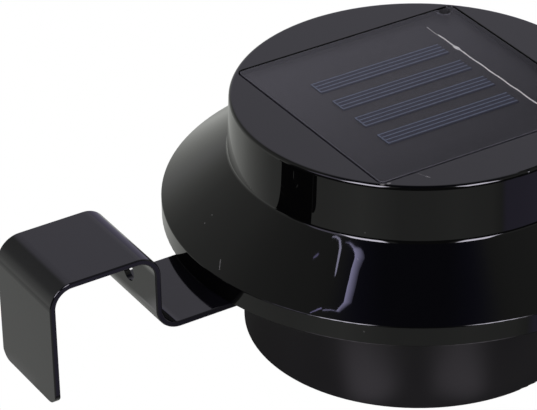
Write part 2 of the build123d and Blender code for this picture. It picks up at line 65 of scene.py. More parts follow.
def linear(colour: str) -> tuple[float, float, float, float]:
    """Turn an sRGB hex colour into linear light.

    Args:
        colour: Six hex digits after a number sign.

    Returns:
        Red, green, blue and an alpha of one.
    """
    channels = [int(colour[place : place + 2], 16) / 255 for place in (1, 3, 5)]
    light = [c / 12.92 if c <= 0.04045 else ((c + 0.055) / 1.055) ** 2.4 for c in channels]
    return (*light, 1.0)


@dataclass(frozen=True)
class Nodes:
    """The node tree of one material or of the world."""

    tree: bpy.types.NodeTree

    def add(
        self,
        kind: str,
        inputs: dict | None = None,
        output: int | str = 0,
        stops: tuple = (),
        **settings: object,
    ) -> Socket:
        """Add one shader node with its settings, values and links.

        Args:
            kind: The node's type, without its ShaderNode in front.
            inputs: Values, or sockets to link, by the input's name or place.
            output: The output that is handed back.
            stops: The places and colours of a colour ramp.
            **settings: The node's own properties.

        Returns:
            The chosen output socket, or the node's first input where it has no output.
        """
        node = self.tree.nodes.new(f"ShaderNode{kind}")
        for name, value in settings.items():
            setattr(node, name, value)
        for place, (position, colour) in enumerate(stops):
            elements = node.color_ramp.elements
            stop = elements[place] if place < 2 else elements.new(position)
            stop.position = position
            stop.color = colour
        for key, value in (inputs or {}).items():
            if isinstance(value, Socket):
                self.tree.links.new(value, node.inputs[key])
            else:
                node.inputs[key].default_value = value
        return node.outputs[output] if node.outputs else node.inputs[0]


def empty_nodes(owner: bpy.types.Material | bpy.types.World) -> Nodes:
    """Turn on the nodes of a material or a world, and clear them.

    Args:
        owner: The material or world.

    Returns:
        Its nodes, with none left.
    """
    owner.use_nodes = True
    owner.node_tree.nodes.clear()
    return Nodes(owner.node_tree)


@dataclass(frozen=True)
class Bed(Nodes):
    """What a finish is laid on: its nodes, the place in millimetres and a pattern of soft patches."""

    mm: Socket
    cloud: Socket


@dataclass(frozen=True)
class Finish:
    """A surface as its maker would describe it, with the patterns that every finish has."""

    name: str
    colour: str
    shade: str
    roughness: float
    ior: float = 1.5
    haze: float = 0.03
    cloud_mm: float = 12.0
    grain_mm: float = 0.5
    grain_depth_mm: float = 0.0
    edge_mm: float = 0.3
    edge_wear_and_sheen: float = 0.0
    edge_wear_and_sheen_colour: str = "#5a5a5c"
    edge_patch_mm: ClassVar[float] = 1.7
    cloud_span: ClassVar[tuple[float, float]] = (0.3, 0.7)
    edge_span: ClassVar[tuple[float, float]] = (0.99, 0.85)

    def material(self) -> bpy.types.Material:
        """Return the material, made once for each name."""
        return bpy.data.materials.get(self.name) or self.make()

    def make(self) -> bpy.types.Material:
        """Build the material from its tint, its gloss and its relief.

        Returns:
            The new material.
        """
        material = bpy.data.materials.new(self.name)
        nodes = empty_nodes(material)
        place = nodes.add("TexCoord", output="Object")
        mm = nodes.add("VectorMath", {0: place, "Scale": 1 / MM}, operation="SCALE")
        cloud = nodes.add("TexNoise", {"Vector": mm, "Scale": 1 / self.cloud_mm, "Detail": 3.0})
        bed = Bed(nodes.tree, mm, cloud)
        paint = {"Fac": self.wear_and_sheen_at_edges(bed), "Color1": self.tint(bed), "Color2": linear(self.edge_wear_and_sheen_colour)}
        gloss = {
            "Value": cloud,
            "From Min": self.cloud_span[0],
            "From Max": self.cloud_span[1],
            "To Min": max(self.roughness - self.haze, 0.0),
            "To Max": self.roughness + self.haze,
        }
        surface = {
            "Base Color": bed.add("MixRGB", paint),
            "Roughness": bed.add("MapRange", gloss),
            **self.constants(),
        }
        for height, depth_mm in self.relief(bed):
            bump = {"Height": height, "Distance": depth_mm * MM, "Strength": 1.0}
            if "Normal" in surface:
                bump["Normal"] = surface["Normal"]
            surface["Normal"] = bed.add("Bump", bump)
        shader = bed.add("BsdfPrincipled", surface)
        bed.add("OutputMaterial", {"Surface": shader})
        return material

    def constants(self) -> dict:
        """Return the values that are the same all over the surface."""
        return {"IOR": self.ior}

    def tint(self, bed: Bed) -> Socket:
        """Return the colour, laid in soft patches with its slightly different shade."""
        patches = {"Fac": bed.cloud, "Color1": linear(self.colour), "Color2": linear(self.shade)}
        return bed.add("MixRGB", patches)

    def edge_mask(self, bed: Bed) -> Socket:
        """Find the edges within reach of a small rounding.

        Args:
            bed: What the finish is laid on.

        Returns:
            One at the edges and nought elsewhere.
        """
        rounded = bed.add("Bevel", {"Radius": self.edge_mm * MM}, samples=4)
        flat = bed.add("NewGeometry", {}, "Normal")
        likeness = bed.add("VectorMath", {0: rounded, 1: flat}, "Value", operation="DOT_PRODUCT")
        start, end = self.edge_span
        return bed.add("MapRange", {"Value": likeness, "From Min": start, "From Max": end})

    def wear_and_sheen_at_edges(self, bed: Bed) -> Socket:
        """Lay the edge colour on the edges in patches: wear that handling rubs on in places, and on the
        powder coat a painted sheen.

        Args:
            bed: What the finish is laid on.

        Returns:
            How much of the edge colour shows.
        """
        edge_patches = bed.add("TexNoise", {"Vector": bed.mm, "Scale": 1 / self.edge_patch_mm, "Detail": 2.0})
        broken = bed.add("Math", {0: edge_patches, 1: self.edge_mask(bed)}, operation="MULTIPLY")
        return bed.add("Math", {0: broken, 1: self.edge_wear_and_sheen}, operation="MULTIPLY")

    def relief(self, bed: Bed) -> Relief:
        """Make the surface uneven.

        Args:
            bed: What the finish is laid on.

        Returns:
            The heights and their depths.
        """
        if not self.grain_depth_mm:
            return []
        grain = {"Vector": bed.mm, "Scale": 1 / self.grain_mm, "Detail": 2.0, "Roughness": 0.6}
        return [(bed.add("TexNoise", grain), self.grain_depth_mm)]


@dataclass(frozen=True)
class ScuffAndGlint:
    """A pale mark from one place to another on the part, in millimetres: a scuff left by handling, and
    in some places a painted glint.
    """

    start: tuple[float, float, float]
    end: tuple[float, float, float]
    width: float
    strength: float

    def mask(self, bed: Bed) -> Socket:
        """Find what lies within half the mark's width of its line.

        Args:
            bed: What the finish is laid on.

        Returns:
            How much of the mark shows.
        """
        run = Vector(self.end) - Vector(self.start)
        way = run.normalized()
        off = bed.add("VectorMath", {0: bed.mm, 1: self.start}, operation="SUBTRACT")
        along = bed.add("VectorMath", {0: off, 1: way}, "Value", operation="DOT_PRODUCT")
        reach = bed.add("Clamp", {"Value": along, "Min": 0.0, "Max": run.length})
        nearest = bed.add("VectorMath", {0: way, "Scale": reach}, operation="SCALE")
        gap = bed.add("VectorMath", {0: off, 1: nearest}, "Value", operation="DISTANCE")
        limits = {"Value": gap, "From Min": self.width / 2, "From Max": 0.0, "To Max": self.strength}
        return bed.add("MapRange", limits)


@dataclass(frozen=True)
class Moulding(Finish):
    """Injection moulded plastic, with sink, dust held by static, a few scuffs and a few painted glints.
    """

    sink_mm: float = 16.0
    sink_depth_mm: float = 0.0
    dust_mm: float = 5.0
    dust_size: float = 0.035
    dust_and_glint_colour: str = "#7c7b78"
    dust: float = 0.0
    scuffs_and_glints: tuple[ScuffAndGlint, ...] = ()

    def tint(self, bed: Bed) -> Socket:
        """Add specks of dust, scuffs and painted glints to the plastic's colour.

        Args:
            bed: What the finish is laid on.

        Returns:
            The colour socket.
        """
        plastic = super().tint(bed)
        if not self.dust:
            return plastic
        spots = {"Vector": bed.mm, "Scale": 1 / self.dust_mm, "Randomness": 1.0}
        distance = bed.add("TexVoronoi", spots)
        chance = distance.node.outputs["Color"]
        limits = {"Value": distance, "From Min": self.dust_size, "From Max": 0.0, "To Max": self.dust}
        speck = bed.add("MapRange", limits)
        marks = bed.add("Math", {0: speck, 1: chance}, operation="MULTIPLY")
        for pale_mark in self.scuffs_and_glints:
            marks = bed.add("Math", {0: marks, 1: pale_mark.mask(bed)}, operation="MAXIMUM")
        dust_scuffs_and_glints = {"Fac": marks, "Color1": plastic, "Color2": linear(self.dust_and_glint_colour)}
        return bed.add("MixRGB", dust_scuffs_and_glints)

    def relief(self, bed: Bed) -> Relief:
        """Add the long waves that cooling leaves in the wall to the mould's own grain.

        Args:
            bed: What the finish is laid on.

        Returns:
            The waves and the grain, with their depths.
        """
        waves = []
        if self.sink_depth_mm:
            sink = {"Vector": bed.mm, "Scale": 1 / self.sink_mm, "Detail": 0.0}
            waves.append((bed.add("TexNoise", sink), self.sink_depth_mm))
        return waves + super().relief(bed)


@dataclass(frozen=True)
class Metal(Finish):
    """Bare or plated metal, whose colour is its mirror."""

    streak: tuple[float, float, float] = (1.0, 1.0, 1.0)

    def constants(self) -> dict:
        """Return full metallic, with the shader's own IOR."""
        return {"Metallic": 1.0}

    def relief(self, bed: Bed) -> Relief:
        """Return the fine marks of drawing, stamping or plating, long where they are streaks."""
        drawn = bed.add("Mapping", {"Vector": bed.mm, "Scale": self.streak})
        return super().relief(replace(bed, mm=drawn))


@dataclass(frozen=True)
class Clear(Finish):
    """Clear plastic or epoxy that light goes through."""

    def constants(self) -> dict:
        """Return full transmission at the plastic's IOR."""
        return {"IOR": self.ior, "Transmission Weight": 1.0}


@dataclass(frozen=True)
class CastResin(Finish):
    """Epoxy poured over solar cells, clouded so that what lies in it shows faintly.

    It is painted darker towards one corner of the part, a painted shade for the light falling off across
    the face.
    """

    alpha: float = 0.4
    painted_shade_way: tuple[float, float, float] = (0.35, -0.937, 0.0)
    painted_shade_start: float = -38.0
    painted_shade_end: float = 24.0
    painted_shade_colour: str = "#222223"

    def tint(self, bed: Bed) -> Socket:
        """Paint a shade on the clouded colour, darker along one way.

        Args:
            bed: What the finish is laid on.

        Returns:
            The colour socket.
        """
        # Painted shade: the face is drawn darker along this way, standing in for the fall of light
        # across it
        along = bed.add("VectorMath", {0: bed.mm, 1: self.painted_shade_way}, "Value", operation="DOT_PRODUCT")
        limits = {"Value": along, "From Min": self.painted_shade_start, "From Max": self.painted_shade_end}
        painted_shade = bed.add("MapRange", limits)
        layers = {"Fac": painted_shade, "Color1": super().tint(bed), "Color2": linear(self.painted_shade_colour)}
        return bed.add("MixRGB", layers)

    def constants(self) -> dict:
        """Return the resin's IOR and how much of what is under it is hidden."""
        return {"IOR": self.ior, "Alpha": self.alpha}


@dataclass(frozen=True)
class Laminate(Finish):
    """Glass-fibre board under a solder mask, with copper tracks that show through as paler."""

    track_colour: str = "#3f7a4c"
    weave_mm: float = 0.8
    track_mm: float = 3.0
    track_edge: tuple[float, float] = (0.14, 0.1)

    def tint(self, bed: Bed) -> Socket:
        """Lay tracks and the glass weave under the mask.

        Args:
            bed: What the finish is laid on.

        Returns:
            The colour socket.
        """
        cells = {"Vector": bed.mm, "Scale": 1 / self.track_mm, "Randomness": 0.6}
        border = bed.add("TexVoronoi", cells, feature="DISTANCE_TO_EDGE", distance="MANHATTAN")
        start, end = self.track_edge
        track = bed.add("MapRange", {"Value": border, "From Min": start, "From Max": end})
        copper = {"Fac": track, "Color1": super().tint(bed), "Color2": linear(self.track_colour)}
        return bed.add("MixRGB", copper)

    def relief(self, bed: Bed) -> Relief:
        """Weave the glass cloth, as two crossed waves.

        Args:
            bed: What the finish is laid on.

        Returns:
            The weave, with its depth.
        """
        bands = {"Vector": bed.mm, "Scale": 1 / self.weave_mm / 3}
        warp, weft = (bed.add("TexWave", bands, "Fac", bands_direction=way) for way in "XY")
        return [(bed.add("Math", {0: warp, 1: weft}, operation="MULTIPLY"), self.grain_depth_mm)]


# Pale marks on the shell: a short scratch low on the skirt and a chip on the top, left by
# handling, a painted highlight on the top's rounded edge, and two pale dots beside the panel's
# near corner
SHELL_MARKS_AND_GLINTS = (
    ScuffAndGlint((-52.2, -4.8, 33.8), (-53.4, -6.4, 32.75), 0.34, 0.5),
    ScuffAndGlint((-19.37, -28.57, 55.65), (-18.6, -30.4, 55.65), 0.22, 0.35),
    ScuffAndGlint((-18.6, -30.4, 55.65), (-18.32, -31.15, 55.65), 0.4, 0.8),
    # Painted highlight: a glint on the drum's rounded top edge, drawn as a pale dot
    ScuffAndGlint((-26.43, -30.7, 55.4), (-26.3, -30.8, 55.4), 0.6, 0.8),
    # Two pale dots beside the panel's near corner
    ScuffAndGlint((-27.9, -28.1, 55.65), (-27.6, -28.3, 55.65), 0.75, 0.8),
    ScuffAndGlint((-26.6, -28.5, 55.65), (-26.3, -28.6, 55.65), 0.75, 0.9),
)
# Black ABS, injection moulded in a polished mould: a deep black that mirrors the room, with very
# slow waves where the wall shrank, a few specks of dust held by static, and pale marks that are
# partly scuffs and partly painted glints
GLOSS_ABS = Moulding(
    "abs_black_polished_mould", "#030303", "#040404", 0.012, ior=1.52, haze=0.004, cloud_mm=18.0,
    sink_depth_mm=0.0006, dust_mm=7.0, dust=0.7, scuffs_and_glints=SHELL_MARKS_AND_GLINTS, edge_wear_and_sheen=0.06,
)
# The same ABS from a spark-eroded mould: the fine pits, drawn at twice their 0.2 mm so that they
# show, spread each reflection into a soft band
SATIN_ABS = Moulding(
    "abs_black_spark_eroded_mould", "#100f10", "#141314", 0.4, haze=0.04, grain_mm=0.4,
    grain_depth_mm=0.01, dust_mm=6.0, dust_size=0.04, dust=0.5, dust_and_glint_colour="#8a7a70", edge_wear_and_sheen=0.2,
)
# Switch and holder plastics: plain black mouldings with a light grain
SWITCH_ABS = Moulding(
    "abs_black_switch_moulding", "#161617", "#1c1c1d", 0.35, grain_depth_mm=0.008, edge_wear_and_sheen=0.5,
)
HOLDER_ABS = Moulding(
    "abs_black_holder_moulding", "#18181a", "#202022", 0.45, grain_depth_mm=0.01, edge_wear_and_sheen=0.4,
)
# Gloss black polyester powder, baked on steel: it mirrors nearly as cleanly as the shell, and a
# faint orange peel softens every reflected edge; its edges are painted a faint indigo sheen
POWDER_COAT = Finish(
    "polyester_powder_coat_black_on_steel", "#060608", "#09080c", 0.07, ior=1.52, haze=0.015,
    cloud_mm=9.0, grain_mm=1.6, grain_depth_mm=0.0012, edge_mm=0.25, edge_wear_and_sheen=0.1,
    edge_wear_and_sheen_colour="#241f38",
)
# Clear epoxy cast over the cells and greyed by age and fine bubbles: milky, satin and slightly
# blotched
RESIN = CastResin(
    "epoxy_cast_over_cells", "#565658", "#616163", 0.3, haze=0.06, cloud_mm=2.0, grain_mm=1.6,
    grain_depth_mm=0.006, alpha=0.36,
)
# The same epoxy along the panel's cut edge and round the nick's lip, painted paler and opaque: a painted
# highlight on the rounded edge
PAINTED_EDGE_HIGHLIGHT = Finish(
    "epoxy_edge_painted_highlight", "#424246", "#38383c", 0.5, cloud_mm=2.5, grain_mm=0.3, grain_depth_mm=0.01,
)
# The torn epoxy and bare board inside the nick, painted near black as the nick's own shade, and rough so
# that it stays dark
PAINTED_NICK_SHADE = Finish("epoxy_nick_painted_shade", "#070708", "#0b0b0c", 0.85, grain_mm=0.3, grain_depth_mm=0.02)
# Blue-black silicon with its anti-reflection coat, which gives the strips their slate colour
SILICON = Finish("silicon_wafer_blue_coated", "#182038", "#141b30", 0.5, ior=1.45, cloud_mm=1.5)
# Silver paste, screen printed and fired: slate grey under the resin, matt and grainy
SILVER_PASTE = Finish(
    "silver_paste_fired", "#727f92", "#636f82", 0.5, cloud_mm=0.8, grain_mm=0.15, grain_depth_mm=0.01,
)
# Hot tinned copper: bright and lumpy, where the solder set in ripples
TINNED = Metal("copper_ribbon_hot_tinned", "#f0f0ea", "#dededa", 0.7, cloud_mm=1.2, grain_depth_mm=0.05)
# Black solder mask on the panel's board: dull and even
PANEL_BOARD = Laminate(
    "fibreglass_board_black_mask", "#17171a", "#1b1b1e", 0.5, track_colour="#1f1f22",
    grain_depth_mm=0.01,
)
# Green solder mask on the lamp's board: glossy green with paler tracks
GREEN_BOARD = Laminate("fibreglass_board_green_mask", "#1d4f2c", "#1a4728", 0.35, grain_depth_mm=0.01)
# Closed-cell foam tape: dark and chalky, with the cut cells showing
FOAM = Finish("foam_tape_die_cut", "#3a3a3b", "#2f2f30", 0.9, grain_mm=0.35, grain_depth_mm=0.12)
# Silicone and nitrile seals: dull black with a faint bloom
RUBBER = Finish("nitrile_rubber_moulded", "#171717", "#232322", 0.7, cloud_mm=3.0, grain_depth_mm=0.02)
# Zinc-plated steel screws: blue-white and slightly cloudy, worn bright at the slots
ZINC = Metal(
    "steel_zinc_plated", "#c3c6cb", "#a9adb5", 0.32, cloud_mm=1.0, grain_mm=0.3, grain_depth_mm=0.01,
    edge_wear_and_sheen=0.6, edge_wear_and_sheen_colour="#e6e7ea",
)
# Nickel-plated spring steel: drawn wire and stamped strip with fine lengthwise lines
SPRING_STEEL = Metal(
    "spring_steel_nickel_plated", "#c9c6be", "#b5b2aa", 0.25, grain_mm=0.12, grain_depth_mm=0.006,
    streak=(0.2, 1.0, 1.0),
)
# Polycarbonate, moulded clear: a hard bright disc with faint flow waves
POLYCARBONATE = Clear(
    "polycarbonate_clear_moulded", "#f6f8f8", "#f1f4f4", 0.04, ior=1.585, haze=0.01, grain_mm=9.0,
    grain_depth_mm=0.02,
)
# LED epoxy, cast clear round its leads
LED_EPOXY = Clear(
    "epoxy_cast_clear", "#f4f6f4", "#eef1ee", 0.06, ior=1.54, haze=0.01, grain_mm=2.0,
    grain_depth_mm=0.004,
)
# Vacuum-metallised plastic: a thin aluminium mirror that copies the mould's faint ripple
METALLISED = Metal(
    "abs_vacuum_metallised", "#e4e5e7", "#d6d8db", 0.12, cloud_mm=5.0, grain_mm=2.5,
    grain_depth_mm=0.012,
)
# Moulded epoxy chip body, ferrite, and the capacitor's and cell's shrink sleeves
CHIP_EPOXY = Finish("epoxy_chip_moulded", "#1a1a1b", "#222223", 0.55, grain_mm=0.15, grain_depth_mm=0.01)
FERRITE = Finish(
    "ferrite_sintered", "#2b2b2d", "#3a393a", 0.6, ior=2.0, grain_mm=0.25, grain_depth_mm=0.03,
)
CAPACITOR_SLEEVE = Finish(
    "pvc_sleeve_shrunk_black", "#1b1c22", "#26272e", 0.25, grain_mm=3.0, grain_depth_mm=0.03,
)
CELL_SLEEVE = Finish(
    "pvc_sleeve_shrunk_green", "#2e8a4d", "#277a43", 0.25, grain_mm=4.0, grain_depth_mm=0.04,
)
RED_PVC = Finish(
    "pvc_insulation_red_extruded", "#b3221f", "#9d1c1a", 0.4, grain_mm=1.2, grain_depth_mm=0.02,
)
BLACK_PVC = Finish(
    "pvc_insulation_black_extruded", "#161616", "#1f1f1f", 0.4, grain_mm=1.2, grain_depth_mm=0.02,
)
# Yellow phosphor dropped into the lamp's cup: matt and slightly domed
PHOSPHOR = Finish("led_phosphor_dispensed", "#e9d46a", "#d9c257", 0.6, grain_mm=0.2, grain_depth_mm=0.02)


def in_mm(box: tuple) -> list[Vector]:
    """Return the low and the high corner of a box in millimetres."""
    return [Vector(corner) / MM for corner in box]


def add_piece(
    name: str, points: list, faces: list, finish: Finish, slot: str, body: str = LAMP
) -> bpy.types.Object:
    """Make one mesh piece of the part.

    Args:
        name: The piece's name.
        points: Its corners in millimetres.
        faces: Its faces, as places in the list of corners.
        finish: What it is finished in.
        slot: The material slot of the record that it belongs to; not used.
        body: The body that it moves with.

    Returns:
        The new object.
    """
    mesh = bpy.data.meshes.new(name)
    mesh.from_pydata([Vector(point) * MM for point in points], [], faces)
    mesh.validate()
    mesh.update()
    mesh.shade_smooth()
    mesh.set_sharp_from_angle(angle=math.radians(SHARP_EDGE))
    mesh.materials.append(finish.material())
    piece = bpy.data.objects.new(name, mesh)
    bpy.context.scene.collection.objects.link(piece)
    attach(piece, body)
    LOG.info("%s: %d faces, %s", name, len(mesh.polygons), finish.name)
    return piece


def stitch_rings(rings: int, count: int) -> list:
    """Join rings of points, one after another, into a skin with filled ends.

    Args:
        rings: How many rings there are.
        count: How many points each has.

    Returns:
        The faces.
    """
    faces = []
    for ring in range(rings - 1):
        for step in range(count):
            low, high = ring * count, (ring + 1) * count
            after = (step + 1) % count
            faces.append((low + step, low + after, high + after, high + step))
    faces.append(tuple(reversed(range(count))))
    faces.append(tuple(range((rings - 1) * count, rings * count)))
    return faces


def turned(profile: list[tuple[float, float]], middle: tuple[float, float], steps: int = 32) -> Skin:
    """Turn a profile about an upright axis.

    Args:
        profile: Radius and height of each ring, from the bottom up.
        middle: Where the axis stands.
        steps: Points round each ring.

    Returns:
        The points and the faces.
    """
    points = []
    for radius, height in profile:
        for step in range(steps):
            angle = 2 * math.pi * step / steps
            x, y = middle[0] + radius * math.cos(angle), middle[1] + radius * math.sin(angle)
            points.append((x, y, height))
    return points, stitch_rings(len(profile), steps)


def joined(parts: list[Skin]) -> Skin:
    """Put several skins into one list of points and one of faces.

    Args:
        parts: The points and faces of each skin.

    Returns:
        All points and all faces.
    """
    points, faces = [], []
    for part_points, part_faces in parts:
        start = len(points)
        points += part_points
        faces += [tuple(start + place for place in face) for face in part_faces]
    return points, faces


@dataclass
class Assembly:
    """A group of pieces that is put together on the bench as one."""

    carried: ClassVar[dict[str, Finish]] = {}

    def build(self) -> None:
        """Make the pieces that the CAD leaves to the looks, where there are any."""

    def dress(self) -> None:
        """Give each carried-over CAD node its finish."""
        for node, finish in self.carried.items():
            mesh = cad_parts[node].data
            mesh.materials.clear()
            mesh.materials.append(finish.material())
            LOG.info("%s: %s", node, finish.name)


@dataclass
class Housing(Assembly):
    """Gloss shell over a satin cup, with the seals and screws that close them."""

    carried = {
        "top_shell": GLOSS_ABS,
        "lower_body": SATIN_ABS,
        "housing_seal": RUBBER,
        "housing_screws": ZINC,
    }


class FaceZone(Enum):
    """A part of the panel's face, by its finish's place in the list of the face's materials."""

    CAST = 0
    SIDE = 1
    LIT_EDGE = 2
    SHADED_NICK = 3


@dataclass
class SolarPanel(Assembly):
    """Four strips of cell cast into a square of clouded epoxy, let into the drum's top."""

    corner: float = 1.1
    corner_steps: int = 8
    side_steps: int = 170
    side_gap: float = 0.12
    face_shift: tuple[float, float] = (0.05, 0.12)
    lip_drop: float = 0.02
    edge_round: float = 0.14
    edge_turns: int = 5
    sag: float = 0.06
    sag_power: float = 2.0
    fine_band: float = 5.0
    ring_step: float = 0.32
    coarse_rings: int = 3
    least_corner: float = 0.02
    notch_place: tuple[float, float] = (25.1, 26.35)
    notch_radius: float = 1.25
    notch_depth: float = 0.95
    notch_lip: float = 0.85
    wall_slope: float = 2.2
    lip_slope: float = 2.5
    lip_share: float = 0.2
    lip_fan: float = 0.5
    under_gap: float = 0.02
    finger_count: int = 4
    finger_pitch: float = 1.3
    finger_width: float = 0.26
    finger_height: float = 0.03
    finger_shift: float = 0.2
    closing_width: float = 0.3
    ribbon_half: float = 0.19
    ribbon_setback: float = 1.0
    ribbon_thick: float = 0.1
    ribbon_top: float = 0.012
    ribbon_ragged: float = 0.4
    ribbon_ripple: float = 0.15
    ribbon_sway: float = 0.06
    sway_turn: float = 0.9
    ribbon_jitter: float = 0.05
    ribbon_sides: int = 10
    faint_length: float = 4.2
    faint_width: float = 0.6
    solder_shift: float = 2.7
    solder_length: float = 1.3
    solder_width: float = 1.0
    ribbon_steps: int = 130
    seed: int = 11
    carried = {
        "panel_board": PANEL_BOARD,
        "panel_pad": FOAM,
        **{f"solar_cell_{number}": SILICON for number in CELLS},
        "panel_wire_red": RED_PVC,
        "panel_wire_black": BLACK_PVC,
    }

    def outline(self, half: float, corner: float) -> list[tuple[float, float]]:
        """Points round a square with rounded corners.

        Args:
            half: Half of the square's side.
            corner: Radius of its corners.

        Returns:
            The points, anticlockwise, the same number for every size.
        """
        points = []
        for quarter in range(4):
            turn = Matrix.Rotation(math.radians(90 * quarter), 2)
            for step in range(self.corner_steps + 1):
                angle = math.radians(90 * step / self.corner_steps)
                reach = half - corner
                point = Vector((reach + corner * math.cos(angle), reach + corner * math.sin(angle)))
                points.append(tuple(turn @ point))
            for step in range(1, self.side_steps):
                share = step / self.side_steps
                point = Vector(((half - corner) * (1 - 2 * share), half))
                points.append(tuple(turn @ point))
        return points

    def face_drop(self, x: float, y: float, half: float) -> float:
        """How far the cast face, which stands a little proud at its edges, has sunk in the middle.

        Args:
            x: The point's place along X.
            y: The point's place along Y.
            half: Half of the face's side.

        Returns:
            The drop in millimetres.
        """
        reach = min(1.0, max(abs(x), abs(y)) / half)
        return self.sag * (1 - reach**self.sag_power)

    def build(self) -> None:
        """Cast the face over the strips, then print their fingers and lay the ribbon."""
        self.build_face()
        for number in CELLS:
            self.build_fingers(number)
        self.build_ribbon()

    def face_profile(self, half: float) -> list[tuple[float, float | None]]:
        """List the rings that the face is made of, from its foot over its rounded edge inwards.

        Args:
            half: Half of the face's side.

        Returns:
            The inset and the drop of each ring, with None for the drop of the foot.
        """
        rings = [(0.0, None)]
        for step in range(self.edge_turns + 1):
            angle = math.radians(90 * step / self.edge_turns)
            across, down = 1 - math.cos(angle), 1 - math.sin(angle)
            rings.append((self.edge_round * across, self.edge_round * down))
        inset = self.edge_round
        while inset < half - 2 * self.ring_step:
            inset += self.ring_step * (1 if inset < self.fine_band else self.coarse_rings)
            rings.append((inset, 0.0))
        return rings

    def build_face(self) -> None:
        """Make the resin face: a square with a rounded edge and a nick by one corner."""
        low, high = in_mm(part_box("panel_resin"))
        half = (high.x - low.x) / 2 - self.side_gap
        top = in_mm(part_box("top_shell"))[1].z - self.lip_drop
        rings = self.face_profile(half)
        points = []
        for inset, drop in rings:
            corner = max(self.corner - inset, self.corner * (1 - inset / half), self.least_corner)
            for x, y in self.outline(half - inset, corner):
                height = low.z + self.under_gap
                if drop is not None:
                    height = self.nicked(x, y, top - self.face_drop(x, y, half) - drop, top)
                points.append((x + self.face_shift[0], y + self.face_shift[1], height))
        count = 4 * (self.corner_steps + self.side_steps)
        face = add_piece("panel_face", points, stitch_rings(len(rings), count), RESIN, "panel_resin")
        # The side takes the board's finish, the rounded edge and the nick's lip a painted highlight, and
        # the nick a painted shade
        for finish in (PANEL_BOARD, PAINTED_EDGE_HIGHLIGHT, PAINTED_NICK_SHADE):
            face.data.materials.append(finish.material())
        for place, polygon in enumerate(face.data.polygons):
            spot = polygon.center.xy / MM - Vector(self.face_shift)
            polygon.material_index = self.zone(place // count, spot).value
        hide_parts("panel_resin")

    def zone(self, ring: int, spot: Vector) -> FaceZone:
        """Tell which part of the face a polygon belongs to.

        Args:
            ring: How many rings lie between it and the foot.
            spot: Its middle, from the face's own middle.

        Returns:
            The part of the face.
        """
        nick = Vector(self.notch_place)
        offset = spot - nick
        past_lip = offset.length - self.notch_radius
        inward = -offset.dot(nick.normalized()) > self.lip_fan * offset.length
        # The nick itself takes the painted shade
        if past_lip < 0:
            return FaceZone.SHADED_NICK
        if ring == 0:
            return FaceZone.SIDE
        # The rounded edge and the nick's inner lip take the painted highlight
        if ring <= self.edge_turns or (inward and past_lip < self.notch_lip):
            return FaceZone.LIT_EDGE
        return FaceZone.CAST

    def nicked(self, x: float, y: float, height: float, top: float) -> float:
        """Lower a point of the face where the nick is.

        Args:
            x: The point's place along X.
            y: The point's place along Y.
            height: Its height without the nick.
            top: The face's height at its edge.

        Returns:
            Its height with the nick.
        """
        if height < top - self.notch_depth:
            return height
        away = math.dist((x, y), self.notch_place)
        wall = min(1.0, max(0.0, 1 - away / self.notch_radius) * self.wall_slope)
        lip = min(1.0, max(0.0, 1 - away / (self.notch_radius + self.notch_lip)) * self.lip_slope)
        return height - self.notch_depth * (wall + self.lip_share * (lip - wall))

    def build_fingers(self, number: int) -> None:
        """Print the silver lines of one strip, with the line that closes them at one end.

        Args:
            number: The strip's number.
        """
        low, high = in_mm(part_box(f"solar_cell_{number}"))
        middle = (low.y + high.y) / 2 + self.finger_shift
        places = [
            middle + self.finger_pitch * (step - (self.finger_count - 1) / 2)
            for step in range(self.finger_count)
        ]
        half = self.finger_width / 2
        bars = [(low.x, high.x, y - half, y + half) for y in places]
        bars.append((low.x, low.x + self.closing_width, places[0], places[-1]))
        skins = []
        for x0, x1, y0, y1 in bars:
            corners = []
            for z in (high.z, high.z + self.finger_height):
                corners += [(x0, y0, z), (x1, y0, z), (x1, y1, z), (x0, y1, z)]
            skins.append((corners, stitch_rings(2, 4)))
        add_piece(f"cell_fingers_{number}", *joined(skins), SILVER_PASTE, "tinned_copper")

    def build_ribbon(self) -> None:
        """Lay the tinned ribbon past the strips' ends, half out of the resin, with a lump of solder."""
        low, high = in_mm(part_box("panel_ribbon"))
        top = in_mm(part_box("top_shell"))[1].z - self.ribbon_top
        cell_low, cell_high = in_mm(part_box("solar_cell_1"))
        solder_y = (cell_low.y + cell_high.y) / 2 - self.solder_shift
        start_y = high.y - self.ribbon_setback
        chance = random.Random(self.seed)
        points = []
        for step in range(self.ribbon_steps + 1):
            y = start_y + (low.y - start_y) * step / self.ribbon_steps
            swell = max(0.0, 1 - (abs(y - solder_y) / self.solder_length) ** 2)
            buried = y > start_y - self.faint_length
            ragged = 1 + self.ribbon_ragged * (chance.random() - 0.5)
            half = (self.faint_width if buried else 1.0) * self.ribbon_half * ragged
            half += (self.solder_width / 2 - self.ribbon_half) * swell
            base = top - self.ribbon_thick - (self.ribbon_thick if buried else 0.0)
            height = self.ribbon_thick * (1 - self.ribbon_ripple * chance.random() * (1 - swell))
            sway = self.ribbon_sway * math.sin(y * self.sway_turn)
            middle = low.x + sway + self.ribbon_jitter * chance.random()
            for place in range(self.ribbon_sides):
                angle = 2 * math.pi * place / self.ribbon_sides
                lift = max(math.sin(angle), 0.0)
                points.append((middle + half * math.cos(angle), y, base + height * lift))
        faces = stitch_rings(self.ribbon_steps + 1, self.ribbon_sides)
        ribbon = add_piece("tinned_ribbon", points, faces, TINNED, "tinned_copper")
        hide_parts("panel_ribbon")


